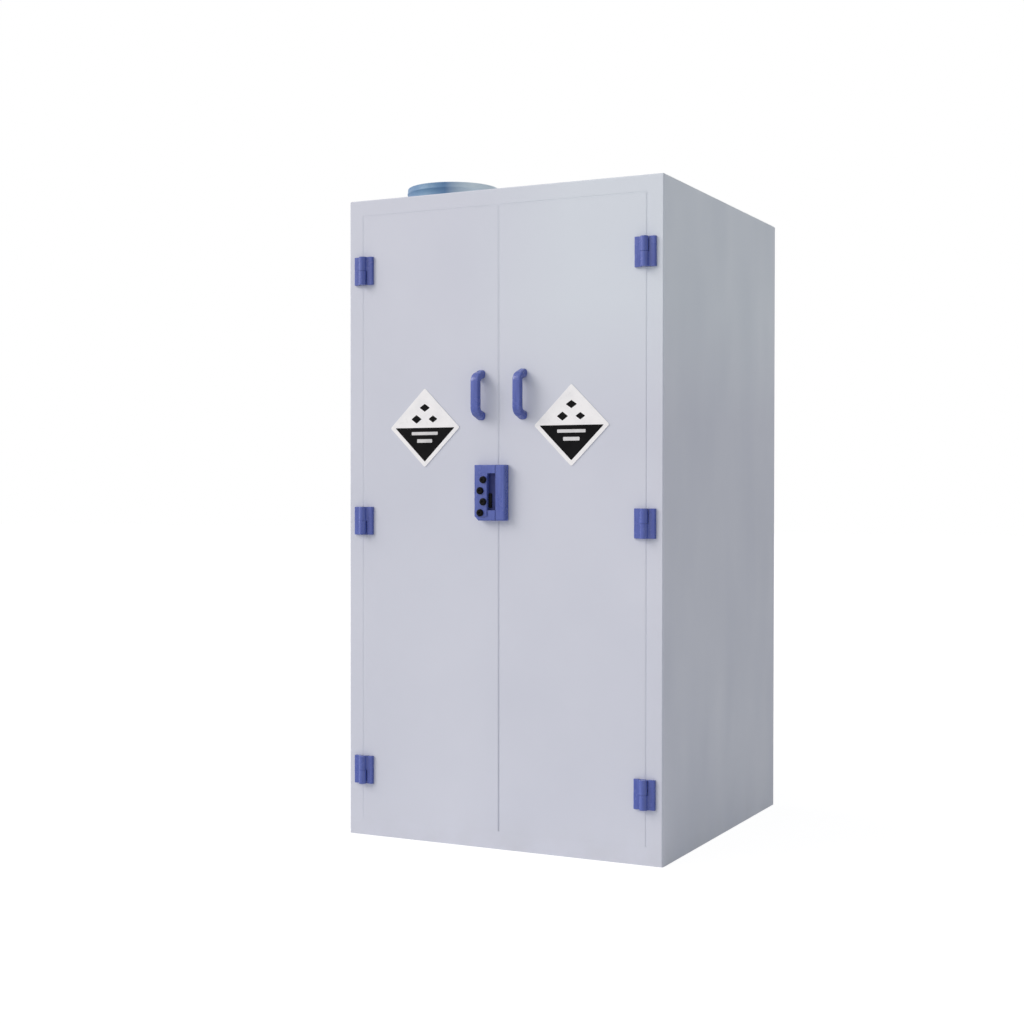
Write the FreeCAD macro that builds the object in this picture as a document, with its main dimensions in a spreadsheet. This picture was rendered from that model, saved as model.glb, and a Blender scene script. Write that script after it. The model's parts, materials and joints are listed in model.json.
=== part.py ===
import FreeCAD
import Part
import Sketcher
import os
import re

# Two-door storage cabinet for corrosive reagents, welded from plastic sheet.
# Millimetres, +Z up, doors face -Y. The origin is on the floor, under the middle of the carcass.

doc = FreeCAD.newDocument("ReagentCabinet")
sheet = doc.addObject("Spreadsheet::Sheet", "Sizes")

drivingSizes = [
    ("cabinetWidth", "876", "carcass, side to side"),
    ("cabinetDepth", "870", "carcass, front to back"),
    ("cabinetHeight", "1650", "carcass, without the duct collar"),
    ("panel", "10", "thickness of the carcass sheets"),
    ("edgeBreak", "3", "bevel along the outer top and front edges"),
    ("stileWidth", "40.2", "front upright beside a door"),
    ("topRailHeight", "40", "front strip above the doors"),
    ("bottomRailHeight", "41", "front strip below the doors, level with the floor sheet"),
    ("jambDepth", "40", "return behind each stile"),
    ("bearerWidth", "60", "bearer under the floor sheet"),
    ("bearerInset", "65", "outer bearer from the side panel"),
    ("stopThickness", "20", "door stop, front to back"),
    ("stopLap", "14", "how far a stop reaches behind the door"),
    ("stopClearance", "0.5", "between a closed door and its stop"),
    ("doorGap", "4", "between a door and its neighbours"),
    ("doorThickness", "30", "skin, core and liner together"),
    ("doorSheet", "8", "door skin, and door liner"),
    ("doorEdgeBreak", "1.5", "bevel round a door's front and back"),
    ("coreRail", "60", "core frame member"),
    ("coreLockStile", "110", "core frame member at the meeting edge"),
    ("hingeHeight", "72", "hinge, along its pin"),
    ("hingeReach", "27.5", "from the pin to a leaf's outer edge"),
    ("hingeShift", "3.5", "hinge pin from the middle of the door gap, towards the door"),
    ("leafThickness", "8", "hinge leaf"),
    ("leafBevel", "3", "bevel along a leaf's outer edge"),
    ("barrelRadius", "10", "hinge barrel"),
    ("barrelLift", "0.5", "between the barrel and the door face"),
    ("knuckleGap", "0.4", "between neighbouring knuckles"),
    ("pinRadius", "4", "hinge pin"),
    ("pinFit", "0.05", "radial running fit of the pin"),
    ("hingeTopInset", "184", "from the carcass top to the top hinge's middle"),
    ("hingeBottomInset", "171", "from the floor to the bottom hinge's middle"),
    ("handleLength", "126", "pull handle, at the door face"),
    ("handleWidth", "24", "pull handle bar, across"),
    ("handleBar", "17", "pull handle bar, front to back"),
    ("handleFoot", "22", "pull handle foot, along the door"),
    ("handleReach", "38", "from the door face to the front of the bar"),
    ("handleFlare", "12", "how far each foot spreads on its way to the door"),
    ("handleOuterBend", "11", "slant at the outer bend of the handle"),
    ("handleInnerBend", "6", "slant at the inner bend of the handle"),
    ("handleEdgeBreak", "4", "bevel along the bar"),
    ("handleAboveLock", "112", "foot of the handle above the lock"),
    ("handleLeftOffset", "51", "left handle from the meeting line"),
    ("handleRightOffset", "65.5", "right handle from the meeting line"),
    ("placardDiagonal", "202", "diamond plate, corner to corner"),
    ("placardThickness", "2", "diamond plate"),
    ("placardRound", "5", "corner of the diamond plate"),
    ("placardHeight", "1057", "middle of the diamond above the floor"),
    ("placardLeftOffset", "212", "left diamond from the meeting line"),
    ("placardRightOffset", "198.5", "right diamond from the meeting line"),
    ("lockHeight", "139", "lock case and keeper, bottom to top"),
    ("lockFloor", "822", "bottom edge of the lock above the floor"),
    ("lockProud", "22", "lock case in front of the door"),
    ("lockBevel", "3", "bevel round the lock's front"),
    ("lockCaseEnd", "59.5", "outer edge of the case from the meeting line"),
    ("keeperEnd", "26.5", "outer edge of the keeper from the meeting line"),
    ("lockGap", "1", "between the case and the keeper"),
    ("lockNotch", "11", "corner cut off the case"),
    ("lockWall", "4", "case wall behind the bolt"),
    ("boltThickness", "8", "sliding bolt plate"),
    ("boltLength", "24", "sliding bolt plate, along its travel"),
    ("boltHeight", "100", "sliding bolt plate, bottom to top"),
    ("boltAboveCaseFoot", "72", "middle of the bolt above the case's bottom edge"),
    ("boltSetback", "1", "bolt tip inside the case when drawn back"),
    ("boltTravel", "12", "how far the bolt slides"),
    ("boltFit", "0.3", "clearance round the bolt"),
    ("windowLip", "4", "case front over the bolt's top and bottom edges"),
    ("pocketFit", "1.2", "clearance round the bolt in the keeper"),
    ("gripWidth", "8", "thumb grip on the bolt"),
    ("gripHeight", "36", "thumb grip on the bolt, bottom to top"),
    ("gripSetback", "5", "thumb grip behind the case front"),
    ("gripDrop", "22", "middle of the thumb grip below the bolt's middle"),
    ("gripSlot", "2", "groove in the thumb grip, wide and deep"),
    ("grooveSpacing", "7", "between grooves in the thumb grip"),
    ("stripProud", "3", "raised strip that carries the black caps"),
    ("stripBevel", "1", "bevel round the strip's front"),
    ("stripNear", "22", "raised strip's edge nearer the meeting line"),
    ("stripFar", "52.5", "raised strip's outer edge from the meeting line"),
    ("capNear", "31.5", "inner screw caps from the meeting line"),
    ("capFar", "40", "outer screw caps from the meeting line"),
    ("capTopInset", "37", "middle of the top screw cap below the case's top"),
    ("capSpacing", "27.5", "from cap to cap"),
    ("capRadius", "9", "black screw cap"),
    ("capDepth", "6", "black screw cap in front of the strip"),
    ("capBevel", "2", "bevel of the cap"),
    ("collarRadius", "125", "outside of the duct collar"),
    ("collarWall", "6", "duct collar"),
    ("collarHeight", "60", "duct collar above the top sheet"),
    ("collarBevel", "2", "lead-in bevel at the collar's rim"),
    ("collarFromFront", "260", "collar centre behind the carcass front"),
    ("collarFromSide", "167", "collar centre from the left side"),
    ("flangeRadius", "147", "collar flange"),
    ("flangeThickness", "6", "collar flange"),
    ("rackWidth", "36", "toothed shelf rack, front to back"),
    ("rackThickness", "16", "toothed shelf rack, off the side"),
    ("rackTopGap", "69", "rack top under the top sheet"),
    ("rackInset", "65", "rack from the front or back sheet"),
    ("toothLength", "50", "rack tooth, from notch to notch"),
    ("toothFirst", "60", "rack foot to the first notch's ledge"),
    ("toothDepth", "12", "notch, into the rack"),
    ("toothRise", "25", "notch, at the rack's edge"),
    ("cleatWidth", "50", "shelf cleat, off the side"),
    ("cleatHeight", "20", "shelf cleat"),
    ("tongueRelief", "1", "between a cleat's tongue and the notch"),
    ("rackRelief", "0.5", "between a cleat and the racks' edges"),
    ("cleatBevel", "3", "bevel on a cleat's inner edges"),
    ("trayMargin", "5", "tray inside the door opening, each side"),
    ("trayFrontInset", "60", "tray behind the carcass front"),
    ("trayBackInset", "10", "tray in front of the back sheet"),
    ("shelfLip", "32", "shelf tray, bottom to rim"),
    ("shelfWall", "5", "shelf tray"),
    ("shelfRound", "18", "shelf tray's upright corners"),
    ("ribWidth", "8", "rib under a shelf tray"),
    ("ribHeight", "14", "rib under a shelf tray"),
    ("ribInset", "195", "outer rib from the back sheet"),
    ("ribEndGap", "4", "rib end to the cleat"),
    ("sumpHeight", "80", "spill sump"),
    ("sumpWall", "6", "spill sump"),
    ("sumpRound", "24", "spill sump's upright corners"),
    ("overrun", "1", "how far a cutter passes the face it cuts"),
]

aliases = [row[0] for row in drivingSizes]
for number, (alias, amount, meaning) in enumerate(drivingSizes, start=1):
    sheet.set("A%d" % number, alias)
    sheet.set("B%d" % number, amount)
    sheet.setAlias("B%d" % number, alias)
    sheet.set("C%d" % number, meaning)
doc.recompute()

# Counts, and how far up the racks the shelves hang, as shares of their notches.
coreWindows = 4
gripGrooves = 5
capCount = 4
ribCount = 3
shelfShares = {"lower": 0.29, "upper": 0.62}

# Places that several pieces share, written in the sheet's names.
front = "(-cabinetDepth / 2)"
back = "(cabinetDepth / 2)"
openingHalf = "(cabinetWidth / 2 - stileWidth)"
doorBottom = "(bottomRailHeight + doorGap)"
doorHeight = "(cabinetHeight - topRailHeight - bottomRailHeight - 2 * doorGap)"
doorWidth = "(cabinetWidth / 2 - stileWidth - doorGap - doorGap / 2)"
hingeLine = "(cabinetWidth / 2 - stileWidth - doorGap / 2 - hingeShift)"
axisLift = "(barrelRadius + barrelLift)"
capHighest = "(lockFloor + lockHeight - capTopInset)"
boltMiddle = "(lockFloor + boltAboveCaseFoot)"
handleHeight = "(lockFloor + lockHeight + handleAboveLock + handleLength / 2)"
collarX = "(-cabinetWidth / 2 + collarFromSide)"
collarY = "(-cabinetDepth / 2 + collarFromFront)"
lockFront = "(-cabinetDepth / 2 - lockProud)"
channelBack = "(-cabinetDepth / 2 - lockWall)"
trayWidth = "(cabinetWidth - 2 * stileWidth - 2 * trayMargin)"
trayDepth = "(cabinetDepth - trayFrontInset - panel - trayBackInset)"
rackHeight = "(cabinetHeight - panel - bottomRailHeight - rackTopGap)"
trayFront = "(-cabinetDepth / 2 + trayFrontInset)"
rackFace = "(cabinetDepth / 2 - panel - rackInset - rackWidth)"

closeness = 0.001
pieces = []


# Helpers

def formula(text):
    # Puts the sheet's name before each of its aliases.
    return re.sub(r"[A-Za-z]\w*", lambda word: "Sizes." + word.group() if word.group() in aliases else word.group(), text)


def amount(text):
    # The value of a formula, for the few properties that take no expression.
    return float(FreeCAD.Units.Quantity(sheet.evalExpression(formula(text))).Value)


def bind(item, **formulas):
    for name, text in formulas.items():
        item.setExpression(name, formula(text))


def place(item, x, y, z, rotation=None):
    if rotation:
        item.Placement = FreeCAD.Placement(FreeCAD.Vector(), rotation)
    for name, text in (("x", x), ("y", y), ("z", z)):
        item.setExpression("Placement.Base." + name, formula(text))


def keep(item, label):
    # Marks a finished piece; its label is the node's name.
    item.Label = label
    pieces.append(item)
    return item


def box(name, length, width, height, x, y, z):
    item = doc.addObject("Part::Box", name)
    bind(item, Length=length, Width=width, Height=height)
    place(item, x, y, z)
    return item


def cylinder(name, radius, height, x, y, z, rotation=None):
    item = doc.addObject("Part::Cylinder", name)
    bind(item, Radius=radius, Height=height)
    place(item, x, y, z, rotation)
    return item


def fuse(name, items):
    item = doc.addObject("Part::MultiFuse", name)
    item.Shapes = items
    item.Refine = True
    return item


def cut(name, base, tools):
    item = doc.addObject("Part::Cut", name)
    item.Base = base
    item.Tool = tools[0] if len(tools) == 1 else fuse(name + "Cutter", tools)
    item.Refine = True
    return item


def group(name, items):
    item = doc.addObject("Part::Compound", name)
    item.Links = items
    return item


def edgeNumbers(item, wanted):
    doc.recompute()
    return [number for number, edge in enumerate(item.Shape.Edges, start=1) if wanted(edge)]


def trim(kind, name, base, size, wanted):
    # A fillet or chamfer of one size on the edges that a test picks.
    item = doc.addObject("Part::" + kind, name)
    item.Base = base
    item.Edges = [(number, amount(size), amount(size)) for number in edgeNumbers(base, wanted)]
    return item


def bodyTrim(body, kind, name, size, wanted):
    base = body.Tip
    names = ["Edge%d" % number for number in edgeNumbers(base, wanted)]
    item = body.newObject("PartDesign::" + kind, name)
    item.Base = (base, names)
    bind(item, **{"Radius" if kind == "Fillet" else "Size": size})
    return item


def near(one, other):
    return abs(one - other) < closeness


def middle(edge):
    return edge.CenterOfMass


def along(edge, axis):
    # True for a straight edge that runs along an axis.
    if edge.Curve.TypeId != "Part::GeomLine":
        return False
    return near(abs(edge.Curve.Direction.dot(axis)), 1)


axisX = FreeCAD.Vector(1, 0, 0)
axisY = FreeCAD.Vector(0, 1, 0)
axisZ = FreeCAD.Vector(0, 0, 1)
outward = FreeCAD.Rotation(axisX, 90)
halfTurnY = FreeCAD.Rotation(axisY, 180)
halfTurnZ = FreeCAD.Rotation(axisZ, 180)


def newBody(name):
    return doc.addObject("PartDesign::Body", name)


def sketchOn(body, name, role, lift="0"):
    sketch = body.newObject("Sketcher::SketchObject", name)
    support = [item for item in body.Origin.OriginFeatures if item.Role == role][0]
    sketch.AttachmentSupport = (support, "")
    sketch.MapMode = "FlatFace"
    sketch.setExpression("AttachmentOffset.Base.z", formula(lift))
    return sketch


def drawOutline(sketch, corners):
    # A closed outline; each corner is held by its two distances from the origin.
    points = [FreeCAD.Vector(amount(x), amount(y), 0) for x, y in corners]
    first = sketch.GeometryCount
    total = len(points)
    for number in range(total):
        sketch.addGeometry(Part.LineSegment(points[number], points[(number + 1) % total]), False)
    for number in range(total):
        following = first + (number + 1) % total
        sketch.addConstraint(Sketcher.Constraint("Coincident", first + number, 2, following, 1))
    for number, (x, y) in enumerate(corners):
        for kind, text, value in (("DistanceX", x, points[number].x), ("DistanceY", y, points[number].y)):
            index = sketch.addConstraint(Sketcher.Constraint(kind, -1, 1, first + number, 1, value))
            sketch.setExpression("Constraints[%d]" % index, formula(text))


def drawRectangle(sketch, left, right, low, high):
    drawOutline(sketch, [(left, low), (right, low), (right, high), (left, high)])


def drawCircle(sketch, x, y, radius):
    number = sketch.GeometryCount
    centre = FreeCAD.Vector(amount(x), amount(y), 0)
    sketch.addGeometry(Part.Circle(centre, axisZ, amount(radius)), False)
    for kind, text, value in (("DistanceX", x, centre.x), ("DistanceY", y, centre.y)):
        index = sketch.addConstraint(Sketcher.Constraint(kind, -1, 1, number, 3, value))
        sketch.setExpression("Constraints[%d]" % index, formula(text))
    index = sketch.addConstraint(Sketcher.Constraint("Radius", number, amount(radius)))
    sketch.setExpression("Constraints[%d]" % index, formula(radius))


def pad(body, name, sketch, length, reverse=False, symmetric=False):
    item = body.newObject("PartDesign::Pad", name)
    item.Profile = sketch
    item.Reversed = reverse
    if symmetric:
        item.SideType = "Symmetric"
    bind(item, Length=length)
    doc.recompute()
    return item


def pocket(body, name, sketch, depth, reverse=False, symmetric=False):
    before = body.Tip.Shape.Volume
    item = body.newObject("PartDesign::Pocket", name)
    item.Profile = sketch
    item.Reversed = reverse
    if symmetric:
        item.SideType = "Symmetric"
    bind(item, Length=depth)
    doc.recompute()
    if item.Shape.Volume >= before:
        raise RuntimeError(name + " removes nothing")
    return item


def repeat(body, name, feature, sketch, direction, count, pitch):
    item = body.newObject("PartDesign::LinearPattern", name)
    item.Originals = [feature]
    item.Direction = (sketch, [direction])
    item.Mode = "Spacing"
    item.Occurrences = count
    bind(item, Offset=pitch)
    body.Tip = item
    doc.recompute()
    return item


# Carcass sheets

def sidePanel(label, side):
    outer = side + " * cabinetWidth / 2"
    left = "-cabinetWidth / 2" if side == "-1" else "cabinetWidth / 2 - panel"
    plain = box(label + "Sheet", "panel", "cabinetDepth - panel", "cabinetHeight", left, front + " + panel", "0")

    def topOuter(edge):
        return along(edge, axisY) and near(middle(edge).x, amount(outer)) and near(middle(edge).z, amount("cabinetHeight"))

    keep(trim("Chamfer", label, plain, "edgeBreak", topOuter), label)


def topPanel():
    plain = box("topSheet", "cabinetWidth - 2 * panel", "cabinetDepth - 2 * panel", "panel",
                "-cabinetWidth / 2 + panel", front + " + panel", "cabinetHeight - panel")
    hole = cylinder("topDuctHole", "collarRadius", "panel + 2 * overrun", collarX, collarY, "cabinetHeight - panel - overrun")
    keep(cut("topPanel", plain, [hole]), "top_panel")


def carcass():
    sidePanel("side_panel_left", "-1")
    sidePanel("side_panel_right", "1")
    keep(box("backPanel", "cabinetWidth - 2 * panel", "panel", "cabinetHeight",
             "-cabinetWidth / 2 + panel", back + " - panel", "0"), "back_panel")
    keep(box("floorPanel", "cabinetWidth - 2 * panel", "cabinetDepth - 2 * panel", "panel",
             "-cabinetWidth / 2 + panel", front + " + panel", "bottomRailHeight - panel"), "floor_panel")
    topPanel()
    outerBearer = "(cabinetWidth / 2 - panel - bearerInset - bearerWidth / 2)"
    for name, step in (("left", "-1"), ("centre", "0"), ("right", "1")):
        keep(box("bearer" + name, "bearerWidth", "cabinetDepth - 2 * panel", "bottomRailHeight - panel",
                 step + " * " + outerBearer + " - bearerWidth / 2", front + " + panel", "0"), "floor_bearer_" + name)


# Front frame: stiles with their jamb returns, rails and door stops

def stile(label, side):
    body = newBody(label)
    outer = side + " * cabinetWidth / 2"
    inner = side + " * " + openingHalf
    strip = sketchOn(body, label + "Strip", "XY_Plane")
    drawRectangle(strip, outer, inner, front, front + " + panel")
    pad(body, label + "StripPad", strip, "cabinetHeight")
    jamb = sketchOn(body, label + "Jamb", "XY_Plane", "bottomRailHeight")
    drawRectangle(jamb, inner, inner + " + " + side + " * panel", front + " + panel", front + " + panel + jambDepth")
    pad(body, label + "JambPad", jamb, "cabinetHeight - panel - bottomRailHeight")

    def outerEdge(edge):
        place = middle(edge)
        onSide = near(place.x, amount(outer))
        onFront = near(place.y, amount(front))
        onTop = near(place.z, amount("cabinetHeight"))
        return (onSide and onFront) or (onTop and (onSide or onFront))

    bodyTrim(body, "Chamfer", label + "Bevel", "edgeBreak", outerEdge)
    keep(body, label)


def rails():
    plain = box("topRail", "2 * " + openingHalf, "panel", "topRailHeight",
                "-" + openingHalf, front, "cabinetHeight - topRailHeight")

    def frontTop(edge):
        return along(edge, axisX) and near(middle(edge).y, amount(front)) and near(middle(edge).z, amount("cabinetHeight"))

    keep(trim("Chamfer", "railTop", plain, "edgeBreak", frontTop), "rail_top")
    keep(box("railBottom", "2 * " + openingHalf, "panel", "bottomRailHeight", "-" + openingHalf, front, "0"), "rail_bottom")
    stopFace = front + " + doorThickness + stopClearance"
    keep(box("stopTop", "2 * " + openingHalf, "stopThickness", "topRailHeight - panel + doorGap + stopLap",
             "-" + openingHalf, stopFace, "cabinetHeight - topRailHeight - doorGap - stopLap"), "door_stop_top")
    keep(box("stopBottom", "2 * " + openingHalf, "stopThickness", "doorGap + stopLap",
             "-" + openingHalf, stopFace, "bottomRailHeight"), "door_stop_bottom")


# Doors: a front skin, a windowed core and an inner liner, each the door's full outline

def doorLeft(side):
    return "(-cabinetWidth / 2 + stileWidth + doorGap)" if side == "-1" else "(doorGap / 2)"


def handlePlace(side):
    return "(-handleLeftOffset)" if side == "-1" else "(handleRightOffset)"


def capPlaces():
    places = []
    for number in range(capCount):
        offset = "-capNear" if number % 2 == 0 else "-capFar"
        places.append((offset, capHighest + " - %d * capSpacing" % number))
    return places


def doorSheetPiece(label, side, face, bevelFace):
    plain = box(label + "Sheet", doorWidth, "doorSheet", doorHeight, doorLeft(side), face, doorBottom)
    keep(trim("Chamfer", label, plain, "doorEdgeBreak", lambda edge: near(middle(edge).y, amount(bevelFace))), label)


def doorCore(label, side):
    body = newBody(label)
    left = doorLeft(side)
    frameSketch = sketchOn(body, label + "Frame", "XZ_Plane", "cabinetDepth / 2 - doorSheet")
    drawRectangle(frameSketch, left, left + " + " + doorWidth, doorBottom, doorBottom + " + " + doorHeight)
    pad(body, label + "FramePad", frameSketch, "doorThickness - 2 * doorSheet", reverse=True)
    windowPitch = "((%s - coreRail) / %d)" % (doorHeight, coreWindows)
    low = doorBottom + " + coreRail"
    hingeMember = "coreRail" if side == "-1" else "coreLockStile"
    lockMember = "coreLockStile" if side == "-1" else "coreRail"
    window = sketchOn(body, label + "Window", "XZ_Plane", "cabinetDepth / 2 - doorSheet")
    drawRectangle(window, left + " + " + hingeMember, left + " + " + doorWidth + " - " + lockMember,
                  low, low + " + " + windowPitch + " - coreRail")
    opening = pocket(body, label + "WindowCut", window, "doorThickness - 2 * doorSheet")
    repeat(body, label + "Windows", opening, window, "V_Axis", coreWindows, windowPitch)
    keep(body, label)


def handle(label, side):
    # Profile in the YZ plane: a bar on two feet that spread towards the door.
    body = newBody(label)
    half = "handleLength / 2"
    slope = "handleFlare / handleReach"
    innerReach = "(handleReach - handleBar)"
    sketch = sketchOn(body, label + "Profile", "YZ_Plane")
    upper = [("0", half), ("-handleReach", half + " - handleFlare")]
    lower = [("-handleReach", "-(" + half + " - handleFlare)"), ("0", "-" + half)]
    innerEdge = half + " - handleFoot"
    innerCorner = innerEdge + " - " + innerReach + " * " + slope
    inner = [("0", "-(" + innerEdge + ")"), ("-" + innerReach, "-(" + innerCorner + ")"),
             ("-" + innerReach, innerCorner), ("0", innerEdge)]
    drawOutline(sketch, upper + lower + inner)
    pad(body, label + "Bar", sketch, "handleWidth", symmetric=True)

    def bend(reach):
        return lambda edge: along(edge, axisX) and near(middle(edge).y, -amount(reach))

    bodyTrim(body, "Chamfer", label + "OuterBends", "handleOuterBend", bend("handleReach"))
    bodyTrim(body, "Chamfer", label + "InnerBends", "handleInnerBend", bend(innerReach))

    def barEdge(edge):
        onSide = near(abs(middle(edge).x), amount("handleWidth / 2"))
        return onSide and not near(middle(edge).y, 0)

    bodyTrim(body, "Chamfer", label + "EdgeBreak", "handleEdgeBreak", barEdge)
    place(body, handlePlace(side), front, handleHeight)
    keep(body, label)


def placard(label, x):
    body = newBody(label)
    sketch = sketchOn(body, label + "Diamond", "XZ_Plane")
    half = "placardDiagonal / 2"
    drawOutline(sketch, [("0", half), (half, "0"), ("0", "-" + half), ("-" + half, "0")])
    pad(body, label + "Plate", sketch, "placardThickness")
    bodyTrim(body, "Fillet", label + "Corners", "placardRound", lambda edge: along(edge, axisY))
    place(body, x, front, "placardHeight")
    keep(body, label)


def door(name, side):
    doorSheetPiece("door_skin_" + name, side, front, front)
    doorSheetPiece("door_liner_" + name, side, front + " + doorThickness - doorSheet", front + " + doorThickness")
    doorCore("door_core_" + name, side)
    handle("handle_" + name, side)
    placard("placard_" + name, "-placardLeftOffset" if side == "-1" else "placardRightOffset")


# Hinges: built round the pin's axis with the frame leaf on the left, then set in place

def hingeLeaf(label, onDoor, side, height):
    # The frame leaf carries the lower knuckle and the door leaf the upper one. A right hinge is
    # turned half round afterwards, so it starts upside down. The frame leaf ends at the stile's edge.
    upper = onDoor == (side == "-1")
    left = "doorGap / 2" if onDoor else "-hingeReach"
    width = "hingeReach - doorGap / 2" if onDoor else "hingeReach - doorGap / 2 - hingeShift"
    plate = box(label + "Plate", width, "leafThickness", "hingeHeight",
                left, axisLift + " - leafThickness", "-hingeHeight / 2")
    outer = amount("hingeReach") if onDoor else -amount("hingeReach")

    def outerFront(edge):
        atFront = near(middle(edge).y, amount(axisLift + " - leafThickness"))
        return along(edge, axisZ) and near(middle(edge).x, outer) and atFront

    bevelled = trim("Chamfer", label + "Bevelled", plate, "leafBevel", outerFront)
    notch = box(label + "Notch", "barrelRadius + knuckleGap", "2 * " + axisLift, "(hingeHeight + knuckleGap) / 2 + overrun",
                "0" if onDoor else "-barrelRadius - knuckleGap", "-" + axisLift,
                "-hingeHeight / 2 - overrun" if upper else "-knuckleGap / 2")
    knuckle = cylinder(label + "Knuckle", "barrelRadius", "(hingeHeight - knuckleGap) / 2", "0", "0",
                       "knuckleGap / 2" if upper else "-hingeHeight / 2")
    joined = fuse(label + "Joined", [cut(label + "Notched", bevelled, [notch]), knuckle])
    bore = cylinder(label + "Bore", "pinRadius + pinFit", "hingeHeight + 2 * overrun", "0", "0", "-hingeHeight / 2 - overrun")
    leaf = cut(label, joined, [bore])
    place(leaf, side + " * " + hingeLine, front + " - " + axisLift, height, halfTurnY if side == "1" else None)
    keep(leaf, label)


def hinges():
    top = "(cabinetHeight - hingeTopInset)"
    bottom = "hingeBottomInset"
    heights = {"top": top, "middle": "(%s + %s) / 2" % (top, bottom), "bottom": bottom}
    pins = []
    for name, side in (("left", "-1"), ("right", "1")):
        for level, height in heights.items():
            hingeLeaf("hinge_frame_leaf_%s_%s" % (name, level), False, side, height)
            hingeLeaf("hinge_door_leaf_%s_%s" % (name, level), True, side, height)
            pins.append(cylinder("hingePin", "pinRadius", "hingeHeight", side + " * " + hingeLine,
                                 front + " - " + axisLift, height + " - hingeHeight / 2"))
    keep(group("hingePins", pins), "hinge_pins")


# Lock: a case with a sliding bolt on the left door, a keeper on the right door

channelDepth = "(boltThickness + 2 * boltFit)"
channelLow = "(" + boltMiddle + " - boltHeight / 2 - boltFit)"
channelHeight = "(boltHeight + 2 * boltFit)"
boltTip = "(-lockGap / 2 - boltSetback)"


def frontRim(faceText, keepOutText):
    # Edges of the front face, without those on the meeting side.
    def wanted(edge):
        place = middle(edge)
        return near(place.y, amount(faceText)) and not near(place.x, amount(keepOutText))
    return wanted


def lockCase():
    body = newBody("lockCaseBody")
    outline = sketchOn(body, "lockCaseOutline", "XZ_Plane", "cabinetDepth / 2")
    low = "lockFloor"
    high = "lockFloor + lockHeight"
    drawOutline(outline, [
        ("-lockCaseEnd", low + " + lockNotch"),
        ("-lockCaseEnd + lockNotch", low),
        ("-lockGap / 2", low),
        ("-lockGap / 2", high),
        ("-lockCaseEnd", high),
    ])
    pad(body, "lockCaseBlock", outline, "lockProud")
    bodyTrim(body, "Chamfer", "lockCaseBevel", "lockBevel", frontRim(lockFront, "-lockGap / 2"))
    strip = box("lockStrip", "stripFar - stripNear", "stripProud + lockBevel",
                "%d * capSpacing + 2 * capRadius" % (capCount - 1),
                "-stripFar", lockFront + " - stripProud",
                capHighest + " - %d * capSpacing - capRadius" % (capCount - 1))
    stripEdges = trim("Chamfer", "lockStripBevel", strip, "stripBevel",
                      lambda edge: near(middle(edge).y, amount(lockFront + " - stripProud")))
    raised = fuse("lockRaised", [body, stripEdges])
    channel = box("lockChannel", "boltLength + boltSetback + 2 * boltFit + overrun", channelDepth, channelHeight,
                  boltTip + " - boltLength - boltFit", channelBack + " - " + channelDepth, channelLow)
    window = box("lockWindow", "boltLength + boltSetback + overrun - windowLip", "lockProud + overrun", "boltHeight - 2 * windowLip",
                 boltTip + " - boltLength + windowLip", lockFront + " - overrun - lockWall",
                 boltMiddle + " - boltHeight / 2 + windowLip")
    keep(cut("lockCase", raised, [channel, window]), "lock_case")


def lockCaps():
    # Round black caps over the case's fixing screws.
    stripFace = lockFront + " - stripProud"
    caps = []
    for x, z in capPlaces():
        blank = cylinder("capBlank", "capRadius", "capDepth", x, stripFace, z, outward)
        caps.append(trim("Chamfer", "cap", blank, "capBevel",
                         lambda edge: near(middle(edge).y, amount(stripFace + " - capDepth"))))
    keep(group("lockCaps", caps), "lock_caps")


def lockBolt():
    plateFront = channelBack + " - boltFit - boltThickness"
    plate = box("boltPlate", "boltLength", "boltThickness", "boltHeight",
                boltTip + " - boltLength", plateFront, boltMiddle + " - boltHeight / 2")
    gripLeft = boltTip + " - boltLength + windowLip + boltFit"
    grip = box("boltGrip", "gripWidth", "lockProud - gripSetback - lockWall - boltFit - boltThickness", "gripHeight",
               gripLeft, lockFront + " + gripSetback", boltMiddle + " - gripDrop - gripHeight / 2")
    grooves = []
    for number in range(gripGrooves):
        step = "%d * grooveSpacing" % (number - gripGrooves // 2)
        grooves.append(box("gripGroove", "gripWidth + 2 * overrun", "gripSlot + overrun", "gripSlot", gripLeft + " - overrun",
                           lockFront + " + gripSetback - overrun", boltMiddle + " - gripDrop - gripSlot / 2 + " + step))
    keep(cut("lockBolt", fuse("boltBlank", [plate, grip]), grooves), "lock_bolt")


def lockKeeper():
    block = box("keeperBlock", "keeperEnd - lockGap / 2", "lockProud", "lockHeight", "lockGap / 2", lockFront, "lockFloor")
    bevelled = trim("Chamfer", "keeperBevel", block, "lockBevel", frontRim(lockFront, "lockGap / 2"))
    # The pocket is open towards the door and the meeting edge.
    deepest = boltTip + " + boltTravel + pocketFit"
    pocketFront = channelBack + " - boltFit - boltThickness - pocketFit"
    mouth = box("keeperPocket", deepest + " - lockGap / 2 + overrun", front + " + overrun - (" + pocketFront + ")",
                "boltHeight + 2 * pocketFit", "lockGap / 2 - overrun", pocketFront, boltMiddle + " - boltHeight / 2 - pocketFit")
    keep(cut("lockKeeper", bevelled, [mouth]), "lock_keeper")


# Duct collar on the roof

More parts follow.
